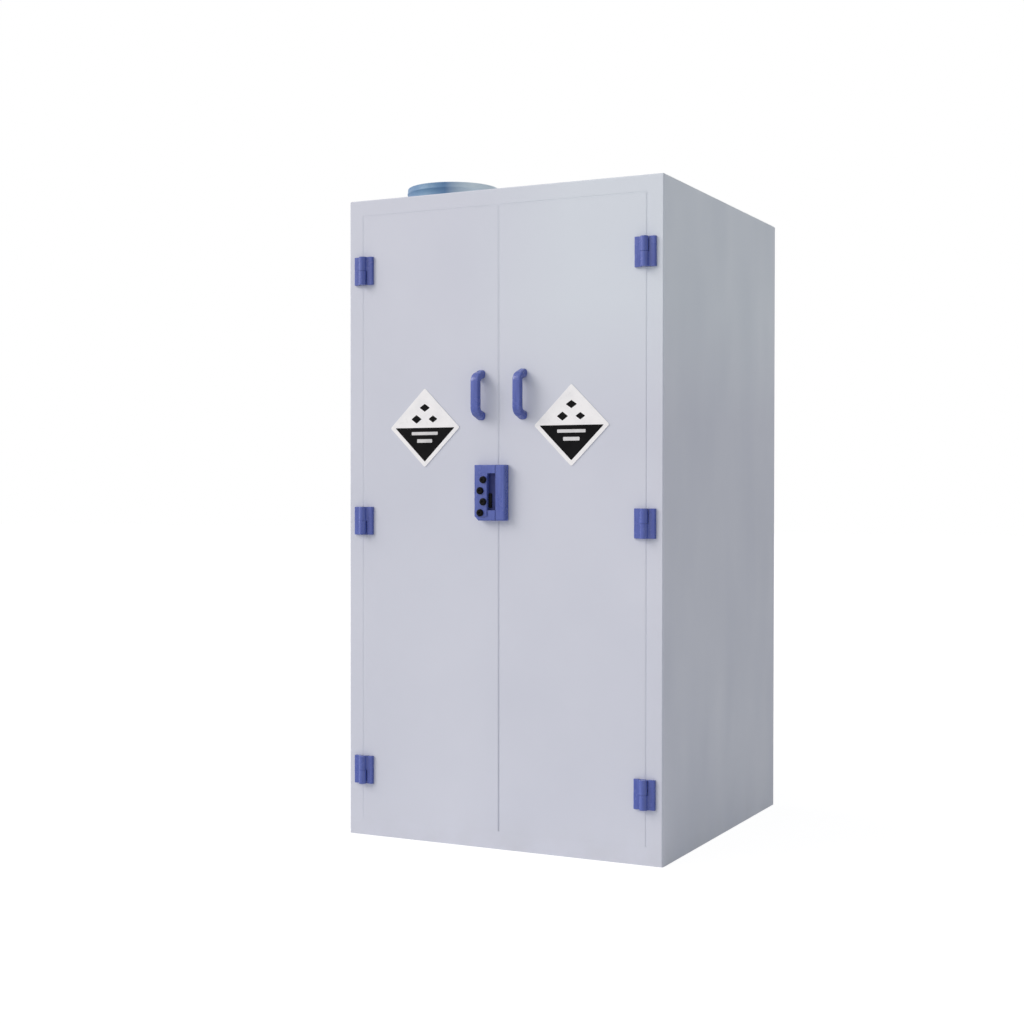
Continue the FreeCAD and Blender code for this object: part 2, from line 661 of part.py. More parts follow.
def ductCollar():
    body = newBody("ductCollar")
    profile = sketchOn(body, "collarProfile", "XZ_Plane")
    bore = "collarRadius - collarWall"
    drawOutline(profile, [
        (bore, "-panel"),
        ("collarRadius", "-panel"),
        ("collarRadius", "0"),
        ("flangeRadius", "0"),
        ("flangeRadius", "flangeThickness"),
        ("collarRadius", "flangeThickness"),
        ("collarRadius", "collarHeight - collarBevel"),
        ("collarRadius - collarBevel", "collarHeight"),
        (bore, "collarHeight"),
    ])
    turned = body.newObject("PartDesign::Revolution", "collarTurned")
    turned.Profile = profile
    turned.ReferenceAxis = (profile, ["V_Axis"])
    turned.Angle = 360
    doc.recompute()
    place(body, collarX, collarY, "cabinetHeight")
    keep(body, "duct_collar")


# Shelving: toothed racks, cleats that hook into their notches, lipped shelf trays and the sump

def notchCount():
    return int((amount(rackHeight) - amount("toothFirst") - amount("toothRise")) // amount("toothLength")) + 1


def shelfRack(label, sideSign, rear):
    # The notches face the cabinet's middle; the rear racks are the front ones turned half round.
    body = newBody(label)
    blank = sketchOn(body, label + "Blank", "YZ_Plane")
    drawRectangle(blank, "0", "rackWidth", "0", rackHeight)
    pad(body, label + "Strip", blank, "rackThickness")
    tooth = sketchOn(body, label + "Tooth", "YZ_Plane")
    drawOutline(tooth, [
        ("rackWidth + overrun", "toothFirst"),
        ("rackWidth - toothDepth", "toothFirst"),
        ("rackWidth", "toothFirst + toothRise"),
        ("rackWidth + overrun", "toothFirst + toothRise"),
    ])
    notch = pocket(body, label + "Notch", tooth, "rackThickness", reverse=True)
    repeat(body, label + "Notches", notch, tooth, "V_Axis", notchCount(), "toothLength")
    inner = "cabinetWidth / 2 - panel"
    faceY = "(-" + rackFace + " - rackWidth)"
    if rear:
        x = inner if sideSign == "1" else "-(" + inner + ") + rackThickness"
        place(body, x, "-" + faceY, "bottomRailHeight", halfTurnZ)
    else:
        x = inner + " - rackThickness" if sideSign == "1" else "-(" + inner + ")"
        place(body, x, faceY, "bottomRailHeight")
    keep(body, label)


def cleatBottom(level):
    return "(bottomRailHeight + toothFirst + %d * toothLength)" % round(shelfShares[level] * notchCount())


def shelfCleat(label, side, level):
    # Bar between the racks, with a wedge tongue at each end that drops into a notch.
    body = newBody(label)
    face = "(" + rackFace + " - rackRelief)"
    tongueTip = "(" + rackFace + " + toothDepth - tongueRelief)"
    inner = side + " * (cabinetWidth / 2 - panel"
    bar = sketchOn(body, label + "Bar", "XY_Plane")
    drawRectangle(bar, inner + ")", inner + " - cleatWidth)", "-" + face, face)
    pad(body, label + "BarPad", bar, "cleatHeight")

    def innerEdge(edge):
        onInner = near(abs(middle(edge).x), amount("cabinetWidth / 2 - panel - cleatWidth"))
        return onInner and not near(middle(edge).z, amount("cleatHeight"))

    bodyTrim(body, "Chamfer", label + "Bevel", "cleatBevel", innerEdge)
    doc.recompute()
    tongue = sketchOn(body, label + "Tongue", "YZ_Plane", side + " * (cabinetWidth / 2 - panel - rackThickness / 2)")
    for end in ("", "-"):
        drawOutline(tongue, [
            (end + face, "0"),
            (end + tongueTip, "0"),
            (end + tongueTip, "tongueRelief"),
            (end + face, "cleatHeight"),
        ])
    pad(body, label + "TonguePad", tongue, "rackThickness", symmetric=True)
    place(body, "0", "0", cleatBottom(level))
    keep(body, label)


def lippedTray(body, label, height, wall, corner):
    # An open tray: a rounded block emptied from above.
    half = trayWidth + " / 2"
    block = sketchOn(body, label + "Outline", "XY_Plane")
    drawRectangle(block, "-" + half, half, trayFront, trayFront + " + " + trayDepth)
    pad(body, label + "Block", block, height)
    bodyTrim(body, "Fillet", label + "Corners", corner, lambda edge: along(edge, axisZ))
    doc.recompute()
    top = [number for number, face in enumerate(body.Tip.Shape.Faces, start=1)
           if near(face.CenterOfMass.z, amount(height)) and near(face.normalAt(0, 0).z, 1)]
    shell = body.newObject("PartDesign::Thickness", label + "Shell")
    shell.Base = (body.getObject(label + "Corners"), ["Face%d" % top[0]])
    shell.Reversed = True
    shell.Join = "Arc"
    bind(shell, Value=wall)
    doc.recompute()


def shelfTray(label, level):
    body = newBody(label)
    lippedTray(body, label, "shelfLip", "shelfWall", "shelfRound")
    ribHalf = "(cabinetWidth / 2 - panel - cleatWidth - ribEndGap)"
    rib = sketchOn(body, label + "Rib", "XY_Plane")
    step = "(cabinetDepth / 2 - panel - ribInset)"
    first = "(-%d * %s)" % (ribCount // 2, step)
    drawRectangle(rib, "-" + ribHalf, ribHalf, first + " - ribWidth / 2", first + " + ribWidth / 2")
    ribPad = pad(body, label + "RibPad", rib, "ribHeight", reverse=True)
    repeat(body, label + "Ribs", ribPad, rib, "V_Axis", ribCount, step)
    place(body, "0", "0", cleatBottom(level) + " + cleatHeight")
    keep(body, label)


def shelving():
    for depth, rear in (("front", False), ("rear", True)):
        for name, side in (("left", "-1"), ("right", "1")):
            shelfRack("shelf_rack_%s_%s" % (depth, name), side, rear)
    for level in shelfShares:
        for name, side in (("left", "-1"), ("right", "1")):
            shelfCleat("shelf_cleat_%s_%s" % (level, name), side, level)
        shelfTray("shelf_tray_" + level, level)
    sump = newBody("sumpTray")
    lippedTray(sump, "sumpTray", "sumpHeight", "sumpWall", "sumpRound")
    place(sump, "0", "0", "bottomRailHeight")
    keep(sump, "sump_tray")


# The whole cabinet

carcass()
stile("stile_left", "-1")
stile("stile_right", "1")
rails()
door("left", "-1")
door("right", "1")
hinges()
lockCase()
lockCaps()
lockBolt()
lockKeeper()
ductCollar()
shelving()
doc.recompute()

faults = [item.Label for item in doc.Objects if "Invalid" in item.State or "Error" in item.State]
for piece in pieces:
    if piece.Shape.isNull() or not piece.Shape.isValid():
        faults.append(piece.Label)
if faults:
    raise RuntimeError("These failed: " + ", ".join(faults))

os.makedirs("parts", exist_ok=True)
for piece in pieces:
    piece.Shape.exportStep("parts/" + piece.Label + ".step")
    print(piece.Label, len(piece.Shape.Solids), "solid, volume", round(piece.Shape.Volume))
print(len(pieces), "nodes")
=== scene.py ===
import bpy
import bmesh
import json
import math
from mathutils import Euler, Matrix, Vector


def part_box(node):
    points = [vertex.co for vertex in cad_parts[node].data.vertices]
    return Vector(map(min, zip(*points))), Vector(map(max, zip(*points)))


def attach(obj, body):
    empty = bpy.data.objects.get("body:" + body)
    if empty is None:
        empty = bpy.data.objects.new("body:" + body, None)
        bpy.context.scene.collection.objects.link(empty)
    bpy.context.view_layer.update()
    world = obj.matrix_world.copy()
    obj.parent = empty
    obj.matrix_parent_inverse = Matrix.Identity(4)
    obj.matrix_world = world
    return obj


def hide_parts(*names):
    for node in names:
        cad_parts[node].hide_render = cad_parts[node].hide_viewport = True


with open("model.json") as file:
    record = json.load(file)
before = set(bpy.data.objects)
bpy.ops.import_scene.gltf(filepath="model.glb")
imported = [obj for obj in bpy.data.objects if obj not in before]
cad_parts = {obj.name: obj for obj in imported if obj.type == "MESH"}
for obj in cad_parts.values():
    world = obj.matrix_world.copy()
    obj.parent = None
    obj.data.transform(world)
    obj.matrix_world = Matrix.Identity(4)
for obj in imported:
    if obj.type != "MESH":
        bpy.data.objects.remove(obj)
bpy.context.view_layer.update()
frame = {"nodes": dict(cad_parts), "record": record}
print("frame loaded:", len(frame["nodes"]), "nodes")

mm = 0.001
sides = ("left", "right")
levels = ("top", "middle", "bottom")

# Same frame as the photograph: camera in front and to the right of the cabinet, at waist height
cameraSettings = {
    "place": (1.8259, -4.0147, 0.8929),
    "turn": (math.pi / 2 - 0.01227, -0.0010, 0.46365),
    "lens": 56.64,
    "sensor": 36.0,
    "sight": 200,
}

def addCamera():
    data = bpy.data.cameras.new("photoCamera")
    data.lens = cameraSettings["lens"]
    data.sensor_width = cameraSettings["sensor"]
    data.clip_end = cameraSettings["sight"]
    camera = bpy.data.objects.new("photoCamera", data)
    camera.location = cameraSettings["place"]
    camera.rotation_euler = Euler(cameraSettings["turn"])
    bpy.context.collection.objects.link(camera)
    bpy.context.scene.camera = camera

addCamera()
print("camera set")


# Small helpers for node trees

def newMaterial(name):
    material = bpy.data.materials.new(name)
    material.use_nodes = True
    tree = material.node_tree
    tree.nodes.clear()
    output = tree.nodes.new("ShaderNodeOutputMaterial")
    shader = tree.nodes.new("ShaderNodeBsdfPrincipled")
    tree.links.new(shader.outputs["BSDF"], output.inputs["Surface"])
    return material, tree, shader

def objectSpace(tree, stretch=(1, 1, 1)):
    # Object coordinates, stretched for streaks
    coords = tree.nodes.new("ShaderNodeTexCoord")
    mapping = tree.nodes.new("ShaderNodeMapping")
    mapping.inputs["Scale"].default_value = stretch
    tree.links.new(coords.outputs["Object"], mapping.inputs["Vector"])
    return mapping.outputs["Vector"]

def noise(tree, vector, scale, detail, roughness=0.5):
    node = tree.nodes.new("ShaderNodeTexNoise")
    node.inputs["Scale"].default_value = scale
    node.inputs["Detail"].default_value = detail
    node.inputs["Roughness"].default_value = roughness
    tree.links.new(vector, node.inputs["Vector"])
    return node.outputs["Fac"]

def remap(tree, value, fromLow, fromHigh, toLow, toHigh):
    node = tree.nodes.new("ShaderNodeMapRange")
    node.inputs["From Min"].default_value = fromLow
    node.inputs["From Max"].default_value = fromHigh
    node.inputs["To Min"].default_value = toLow
    node.inputs["To Max"].default_value = toHigh
    tree.links.new(value, node.inputs["Value"])
    return node.outputs["Result"]

def blendColours(tree, factor, first, second):
    # Sockets 6 and 7 are the mix node's two colours, and output 2 is the blend
    node = tree.nodes.new("ShaderNodeMix")
    node.data_type = "RGBA"
    tree.links.new(factor, node.inputs[0])
    for socket, colour in ((node.inputs[6], first), (node.inputs[7], second)):
        if isinstance(colour, tuple):
            socket.default_value = (*colour, 1)
        else:
            tree.links.new(colour, socket)
    return node.outputs[2]

def multiply(tree, first, second):
    node = tree.nodes.new("ShaderNodeMath")
    node.operation = "MULTIPLY"
    tree.links.new(first, node.inputs[0])
    tree.links.new(second, node.inputs[1])
    return node.outputs["Value"]

def bump(tree, height, strength, distance, below=None):
    node = tree.nodes.new("ShaderNodeBump")
    node.inputs["Strength"].default_value = strength
    node.inputs["Distance"].default_value = distance
    tree.links.new(height, node.inputs["Height"])
    if below:
        tree.links.new(below, node.inputs["Normal"])
    return node.outputs["Normal"]


# Pale sheet: satin plastic with faint cloudiness, orange peel, a little dust near the floor, and a painted
# sheen that lightens the upper right corner
sheetLooks = {
    "paleSheet": {"light": (0.605, 0.634, 0.728), "dark": (0.575, 0.605, 0.700),
                  "dust": (0.535, 0.556, 0.620), "shine": (0.36, 0.50),
                  # paintedSheen is a painted reflection that lightens the sheet towards the upper right
                  "paintedSheen": (0.640, 0.698, 0.770), "sheenUp": (1.08, 1.36), "sheenAcross": (-0.12, 0.20),
                  "sheenMost": 0.8},
    "innerSheet": {"light": (0.640, 0.650, 0.700), "dark": (0.600, 0.612, 0.668),
                   "dust": (0.560, 0.570, 0.610), "shine": (0.40, 0.55)},
}
sheetGrain = {"cloud": 2.1, "cloudBand": (0.35, 0.65), "dust": 9.0, "dustBand": (0.40, 0.70),
              "dustTop": 0.10, "dustMost": 0.55, "smear": 2.4, "smearBand": (0.3, 0.7),
              "smearFlow": (5, 5, 1.3), "wave": 3.4, "waveStrength": 0.18, "waveRise": 0.0030,
              "peel": 520.0, "peelStrength": 0.10, "peelRise": 0.0004, "bend": 1.49}

def sheetMaterial(name):
    looks = sheetLooks[name]
    material, tree, shader = newMaterial(name)
    space = objectSpace(tree)
    cloud = remap(tree, noise(tree, space, sheetGrain["cloud"], detail=4.0), *sheetGrain["cloudBand"], 0, 1)
    tint = blendColours(tree, cloud, looks["light"], looks["dark"])
    parts = tree.nodes.new("ShaderNodeSeparateXYZ")
    tree.links.new(space, parts.inputs["Vector"])
    low = remap(tree, parts.outputs["Z"], 0.0, sheetGrain["dustTop"], sheetGrain["dustMost"], 0.0)
    patches = noise(tree, space, sheetGrain["dust"], detail=5.0, roughness=0.6)
    patches = remap(tree, patches, *sheetGrain["dustBand"], 0, 1)
    tint = blendColours(tree, multiply(tree, low, patches), tint, looks["dust"])
    if "paintedSheen" in looks:      # painted sheen: the upper right corner is lighter and a little greener, standing in for a reflection
        up = remap(tree, parts.outputs["Z"], *looks["sheenUp"], 0, 1)
        across = remap(tree, parts.outputs["X"], *looks["sheenAcross"], 0, looks["sheenMost"])
        tint = blendColours(tree, multiply(tree, up, across), tint, looks["paintedSheen"])
    tree.links.new(tint, shader.inputs["Base Color"])
    smears = noise(tree, objectSpace(tree, sheetGrain["smearFlow"]), sheetGrain["smear"], detail=4.0)
    shine = remap(tree, smears, *sheetGrain["smearBand"], *looks["shine"])
    tree.links.new(shine, shader.inputs["Roughness"])
    waves = bump(tree, noise(tree, space, sheetGrain["wave"], detail=1.0),
                 sheetGrain["waveStrength"], sheetGrain["waveRise"])
    peel = bump(tree, noise(tree, space, sheetGrain["peel"], detail=2.0),
                sheetGrain["peelStrength"], sheetGrain["peelRise"], waves)
    tree.links.new(peel, shader.inputs["Normal"])
    shader.inputs["IOR"].default_value = sheetGrain["bend"]
    return material

# Moulded fittings: coloured plastic with fine grain, flow streaks and rubbed patches; the duct blue also has
# a painted reflection on one side
mouldedLooks = {
    "blueFitting": {"light": (0.082, 0.121, 0.420), "dark": (0.058, 0.089, 0.360),
                    "rubbed": (0.120, 0.160, 0.460), "shine": (0.20, 0.30), "grain": 900.0, "gloss": 0.5,
                    "flow": (60, 60, 9)},
    # recessShadeBlue is a darker copy of the blue fittings: painted shade for the inside of the lock's
    # recess
    "recessShadeBlue": {"light": (0.036, 0.048, 0.185), "dark": (0.022, 0.030, 0.130),
                 "rubbed": (0.065, 0.085, 0.270), "shine": (0.35, 0.50), "grain": 900.0, "gloss": 0.2,
                 "flow": (60, 60, 9)},
    # paintedGlare is a painted reflection that lightens the collar towards the cabinet's middle
    "ductBlue": {"light": (0.135, 0.270, 0.430), "dark": (0.085, 0.187, 0.375),
                 "rubbed": (0.200, 0.325, 0.475), "shine": (0.40, 0.52), "grain": 600.0, "gloss": 0.4,
                 "flow": (7, 7, 2), "paintedGlare": (0.790, 0.920, 1.000), "glareAcross": (-0.234, -0.172)},
    "blackCap": {"light": (0.010, 0.010, 0.012), "dark": (0.004, 0.004, 0.005),
                 "rubbed": (0.030, 0.030, 0.034), "shine": (0.50, 0.65), "grain": 1100.0, "gloss": 0.06,
                 "flow": (40, 40, 12)},
    "whiteScrew": {"light": (0.620, 0.630, 0.650), "dark": (0.540, 0.550, 0.580),
                   "rubbed": (0.680, 0.685, 0.700), "shine": (0.35, 0.50), "grain": 1000.0, "gloss": 0.5,
                   "flow": (40, 40, 12)},
}
mouldGrain = {"streak": 1.6, "streakBand": (0.35, 0.65), "rub": 85.0, "rubBand": (0.58, 0.78),
              "rubMost": 0.6, "smear": 60.0, "smearBand": (0.3, 0.7), "soft": 45.0, "softStrength": 0.16,
              "softRise": 0.0008, "grainStrength": 0.14, "grainRise": 0.0003, "bend": 1.5}

def mouldedMaterial(name):
    looks = mouldedLooks[name]
    material, tree, shader = newMaterial(name)
    space = objectSpace(tree)
    streaks = noise(tree, objectSpace(tree, looks["flow"]), mouldGrain["streak"], detail=5.0, roughness=0.6)
    streaks = remap(tree, streaks, *mouldGrain["streakBand"], 0, 1)
    tint = blendColours(tree, streaks, looks["light"], looks["dark"])
    rubs = noise(tree, space, mouldGrain["rub"], detail=4.0, roughness=0.65)
    rubs = remap(tree, rubs, *mouldGrain["rubBand"], 0, mouldGrain["rubMost"])
    tint = blendColours(tree, rubs, tint, looks["rubbed"])
    if "glareAcross" in looks:      # painted reflection: the collar is lighter towards the cabinet's middle
        parts = tree.nodes.new("ShaderNodeSeparateXYZ")
        tree.links.new(space, parts.inputs["Vector"])
        across = remap(tree, parts.outputs["X"], *looks["glareAcross"], 0, 1)
        tint = blendColours(tree, across, tint, looks["paintedGlare"])
    tree.links.new(tint, shader.inputs["Base Color"])
    smears = noise(tree, space, mouldGrain["smear"], detail=3.0)
    shine = remap(tree, smears, *mouldGrain["smearBand"], *looks["shine"])
    tree.links.new(shine, shader.inputs["Roughness"])
    soft = bump(tree, noise(tree, space, mouldGrain["soft"], detail=2.0),
                mouldGrain["softStrength"], mouldGrain["softRise"])
    grain = bump(tree, noise(tree, space, looks["grain"], detail=2.0),
                 mouldGrain["grainStrength"], mouldGrain["grainRise"], soft)
    tree.links.new(grain, shader.inputs["Normal"])
    shader.inputs["IOR"].default_value = mouldGrain["bend"]
    shader.inputs["Specular IOR Level"].default_value = looks["gloss"]
    return material

# Diamond plates: enamel white, black print, pale grey bars
printLooks = {
    "plateWhite": {"light": (0.885, 0.892, 0.912), "dark": (0.815, 0.824, 0.852),
                   "shine": (0.26, 0.38), "gloss": 0.45},
    "printBlack": {"light": (0.006, 0.006, 0.007), "dark": (0.002, 0.002, 0.003),
                   "shine": (0.50, 0.65), "gloss": 0.06},
    "printGrey": {"light": (0.700, 0.703, 0.720), "dark": (0.560, 0.565, 0.585),
                  "shine": (0.40, 0.55), "gloss": 0.30},
}
printGrain = {"stain": 26.0, "stainBand": (0.42, 0.72), "smear": 90.0, "smearBand": (0.3, 0.7),
              "peel": 400.0, "peelStrength": 0.06, "peelRise": 0.0002}

def printMaterial(name):
    looks = printLooks[name]
    material, tree, shader = newMaterial(name)
    space = objectSpace(tree)
    stain = noise(tree, space, printGrain["stain"], detail=4.0, roughness=0.6)
    stain = remap(tree, stain, *printGrain["stainBand"], 0, 1)
    tree.links.new(blendColours(tree, stain, looks["light"], looks["dark"]), shader.inputs["Base Color"])
    smears = noise(tree, space, printGrain["smear"], detail=3.0)
    shine = remap(tree, smears, *printGrain["smearBand"], *looks["shine"])
    tree.links.new(shine, shader.inputs["Roughness"])
    peel = bump(tree, noise(tree, space, printGrain["peel"], detail=2.0),
                printGrain["peelStrength"], printGrain["peelRise"])
    tree.links.new(peel, shader.inputs["Normal"])
    shader.inputs["Specular IOR Level"].default_value = looks["gloss"]
    return material

materials = {name: sheetMaterial(name) for name in sheetLooks}
materials.update({name: mouldedMaterial(name) for name in mouldedLooks})
materials.update({name: printMaterial(name) for name in printLooks})
print("materials made:", len(materials))


# CAD nodes that stay get their finish, and some get softer edges

slotFinish = {"pale_sheet": "paleSheet", "inner_sheet": "innerSheet", "blue_fitting": "blueFitting",
              "duct_blue": "ductBlue", "black_cap": "blackCap", "placard_plate": "plateWhite"}

def paintNode(node, material):
    if not node.material_slots:
        node.data.materials.append(material)
    for slot in node.material_slots:
        slot.link = "OBJECT"
        slot.material = material

softEdges = {"weld": 0.02, "flat": 0.5, "sharp": 25, "segments": 2}

def softenEdges(node, width):
    weld = node.modifiers.new("weldPoints", "WELD")
    weld.merge_threshold = softEdges["weld"] * mm
    flat = node.modifiers.new("flatFaces", "DECIMATE")
    flat.decimate_type = "DISSOLVE"
    flat.angle_limit = math.radians(softEdges["flat"])
    rounding = node.modifiers.new("softEdge", "BEVEL")
    rounding.width = width
    rounding.segments = softEdges["segments"]
    rounding.limit_method = "ANGLE"
    rounding.angle_limit = math.radians(softEdges["sharp"])
    rounding.use_clamp_overlap = True

softNodes = {"door_liner_left": 1.0, "door_liner_right": 1.0,
             "lock_case": 0.2, "lock_keeper": 1.2, "shelf_tray_lower": 1.4, "shelf_tray_upper": 1.4,
             "sump_tray": 1.6, "shelf_cleat_lower_left": 1.0, "shelf_cleat_lower_right": 1.0,
             "shelf_cleat_upper_left": 1.0, "shelf_cleat_upper_right": 1.0}

def finishNodes():
    for part in frame["record"]["subparts"]:
        node = frame["nodes"][part["node"]]
        paintNode(node, materials[slotFinish[part["material_slot"]]])
        if part["node"] in softNodes:
            softenEdges(node, softNodes[part["node"]] * mm)

finishNodes()
print("nodes finished")


# Mesh helpers

pieceEdges = {"sharp": 32, "segments": 3}

def makePiece(name, shape, finish, body, replaced=(), edge=None, smooth=True):
    mesh = bpy.data.meshes.new(name)
    bmesh.ops.recalc_face_normals(shape, faces=shape.faces[:])
    for face in shape.faces:
        face.smooth = smooth
    shape.to_mesh(mesh)
    shape.free()
    piece = bpy.data.objects.new(name, mesh)
    bpy.context.collection.objects.link(piece)
    mesh.materials.append(materials[finish])
    if edge:
        bevel = piece.modifiers.new("softEdge", "BEVEL")
        bevel.width = edge
        bevel.segments = pieceEdges["segments"]
        bevel.limit_method = "ANGLE"
        bevel.angle_limit = math.radians(pieceEdges["sharp"])
        bevel.harden_normals = True
    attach(piece, body)
    if replaced:
        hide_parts(*replaced)

def prism(shape, outline, spot, low, high):
    # Closed outline of (u, v) pairs, drawn between two levels; spot turns (u, v, level) into a point
    bottom = [shape.verts.new(spot(u, v, low)) for u, v in outline]
    top = [shape.verts.new(spot(u, v, high)) for u, v in outline]
    total = len(outline)
    for number in range(total):
        following = (number + 1) % total
        shape.faces.new((bottom[number], bottom[following], top[following], top[number]))
    shape.faces.new(bottom[::-1])
    shape.faces.new(top)

def lathe(shape, profile, spot, steps, closed=False):
    # Profile of (radius, height) pairs turned about the axis that spot gives
    rings = []
    for radius, height in profile:
        if radius == 0:
            rings.append([shape.verts.new(spot(0, 0, height))])
            continue
        rings.append([shape.verts.new(spot(radius * math.cos(turn), radius * math.sin(turn), height))
                      for turn in (2 * math.pi * step / steps for step in range(steps))])
    pairs = list(zip(rings, rings[1:]))
    if closed:
        pairs.append((rings[-1], rings[0]))
    for one, other in pairs:
        for step in range(steps):
            following = (step + 1) % steps
            corners = []
            for vert in (one[step % len(one)], one[following % len(one)],
                         other[following % len(other)], other[step % len(other)]):
                if vert not in corners:
                    corners.append(vert)
            shape.faces.new(corners)

def block(shape, low, high):
    made = bmesh.ops.create_cube(shape, size=1.0)
    for vert in made["verts"]:
        vert.co = Vector(((low[axis] + high[axis]) / 2 + vert.co[axis] * (high[axis] - low[axis])
                          for axis in range(3)))

def arcPoints(centre, radius, start, end, count):
    # Points on an arc, degrees
    turns = [math.radians(start + (end - start) * step / count) for step in range(count + 1)]
    return [(centre[0] + radius * math.cos(turn), centre[1] + radius * math.sin(turn)) for turn in turns]


# Door skins: flat plates whose right edge falls away in a shallow shoulder
skinShape = {"shoulder": 3.0, "drop": 0.5, "edge": 0.12}

def addSkin(side):
    low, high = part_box("door_skin_" + side)
    turn = high[0] - skinShape["shoulder"] * mm
    foot = low[1] + skinShape["drop"] * mm
    outline = [(low[0], low[1]), (turn, low[1]), (high[0], foot), (high[0], high[1]), (low[0], high[1])]
    shape = bmesh.new()
    prism(shape, outline, lambda x, y, z: (x, y, z), low[2], high[2])
    makePiece("doorSkin_" + side, shape, "paleSheet", "door_" + side, ["door_skin_" + side],
              edge=skinShape["edge"] * mm, smooth=False)

for side in sides:
    addSkin(side)
print("door skins built")


# Bow handles: a rounded flat bar swept through two bends into feet that spread towards the door
handleShape = {"barDepth": 17, "footDepth": 22, "flare": 12, "bend": 12, "sectionRound": 4.5,
               "footRound": 8, "flatEdge": 0.6, "margin": 0.3, "footRim": 0.3, "rimStations": 2,
               "stations": 8, "legStations": 4, "cornerSteps": 6, "edge": 0.6}

def barSection(width, deep, radius):
    # Rounded rectangle with a point on the flats just before and after each corner
    hold = handleShape["flatEdge"]
    points = []
    for corner, (u, v) in enumerate(((1, 1), (-1, 1), (-1, -1), (1, -1))):
        centre = (u * (width / 2 - radius), v * (deep / 2 - radius))
        spots = arcPoints(centre, radius, 90 * corner, 90 * corner + 90, handleShape["cornerSteps"])
        arc = [Vector(spot) for spot in spots]
        points.append(arc[0] - (arc[1] - arc[0]).normalized() * hold)
        points += arc
        points.append(arc[-1] + (arc[-1] - arc[-2]).normalized() * hold)
    return points

def handlePath(half, reach, flare, bend):
    # Centre line in (out from the door, up), eased through each bend; the lower half mirrors the upper
    depth = reach - handleShape["barDepth"] / 2
    foot = half - handleShape["footDepth"] / 2
    corner = foot - flare * depth / reach
    leg = Vector((depth, corner - foot)).normalized()
    start = Vector((depth, corner)) - leg * bend
    end = Vector((depth, corner - bend))
    legs = handleShape["legStations"]
    points = [Vector((0, foot)).lerp(start, step / legs) for step in range(legs)]
    for step in range(handleShape["stations"] + 1):
        share = step / handleShape["stations"]
        near = start.lerp(Vector((depth, corner)), share)
        far = Vector((depth, corner)).lerp(end, share)
        points.append(near.lerp(far, share))
    lower = [Vector((point.x, -point.y)) for point in reversed(points)]
    return points + lower

def addHandle(side):
    low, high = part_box("handle_" + side)
    reach = (high[1] - low[1]) / mm
    half = (high[2] - low[2]) / 2 / mm
    middleX = (low[0] + high[0]) / 2
    middleZ = (low[2] + high[2]) / 2
    width = (high[0] - low[0]) / mm
    path = handlePath(half, reach, handleShape["flare"], handleShape["bend"])
    shape = bmesh.new()
    rings = []
    for number, point in enumerate(path):
        before = path[max(number - 1, 0)]
        after = path[min(number + 1, len(path) - 1)]
        along = (after - before).normalized()
        if number in (0, len(path) - 1):
            along = Vector((1 if number == 0 else -1, 0))
        across = Vector((-along.y, along.x))
        ends = min(number, len(path) - 1 - number)
        swell = handleShape["footRim"] * max(0, 1 - ends / handleShape["rimStations"])
        outward = point.x / (reach - handleShape["barDepth"] / 2)
        deep = handleShape["footDepth"] + (handleShape["barDepth"] - handleShape["footDepth"]) * outward
        ring = []
        trim = 2 * (swell - handleShape["margin"])
        rounding = handleShape["footRound"]
        rounding += (handleShape["sectionRound"] - handleShape["footRound"]) * outward
        for u, v in barSection(width + trim, deep + trim, rounding):
            spot = point + across * v
            ring.append(shape.verts.new((middleX + u * mm, high[1] - spot.x * mm, middleZ + spot.y * mm)))
        rings.append(ring)
    for one, other in zip(rings, rings[1:]):
        for step in range(len(one)):
            following = (step + 1) % len(one)
            shape.faces.new((one[step], one[following], other[following], other[step]))
    shape.faces.new(rings[0][::-1])
    shape.faces.new(rings[-1])
    makePiece("handleBar_" + side, shape, "blueFitting", "door_" + side, ["handle_" + side],
              edge=handleShape["edge"] * mm)

for side in sides:
    addHandle(side)
print("handles built")


# Hinges: a leaf with a rounded outer edge, and a knuckle that runs into it over a small hollow
hingeShape = {"barrel": 10, "axisLift": 10.5, "leaf": 8, "reach": 27.5, "gap": 0.4, "outerRound": 3.5,
              "neck": 4, "neckRoot": 1, "neckHeel": 3, "clear": 0.6, "sunk": 0.2, "seam": 0.2, "edge": 0.4,
              "rimSteps": 5, "neckSteps": 6, "barrelSteps": 26}

def leafOutline():
    shape = hingeShape
    outer = shape["reach"]
    corner = shape["outerRound"]
    rim = arcPoints((outer - corner, shape["leaf"] - corner), corner, 0, 90, shape["rimSteps"])
    inner = shape["barrel"] + shape["gap"]
    return [(outer, 0)] + rim + [(inner, shape["leaf"]), (inner, 0)]

def knuckleOutline():
    # Barrel, with a hollow neck that ends just inside the leaf
    shape = hingeShape
    lift = shape["axisLift"]
    neck = shape["neck"]
    neckHeight = shape["leaf"] + neck
    centre = (math.sqrt((shape["barrel"] + neck) ** 2 - (neckHeight - lift) ** 2), neckHeight)
    meet = math.degrees(math.atan2(centre[1] - lift, centre[0]))
    hollow = arcPoints(centre, neck, 270, 180 + meet, shape["neckSteps"])
    barrel = arcPoints((0, lift), shape["barrel"], meet, 270, shape["barrelSteps"])
    root = centre[0] + shape["neckRoot"]
    start = [(root, shape["clear"]), (root, shape["leaf"] - shape["sunk"])]
    return start + hollow + barrel[1:] + [(shape["neckHeel"], shape["clear"])]

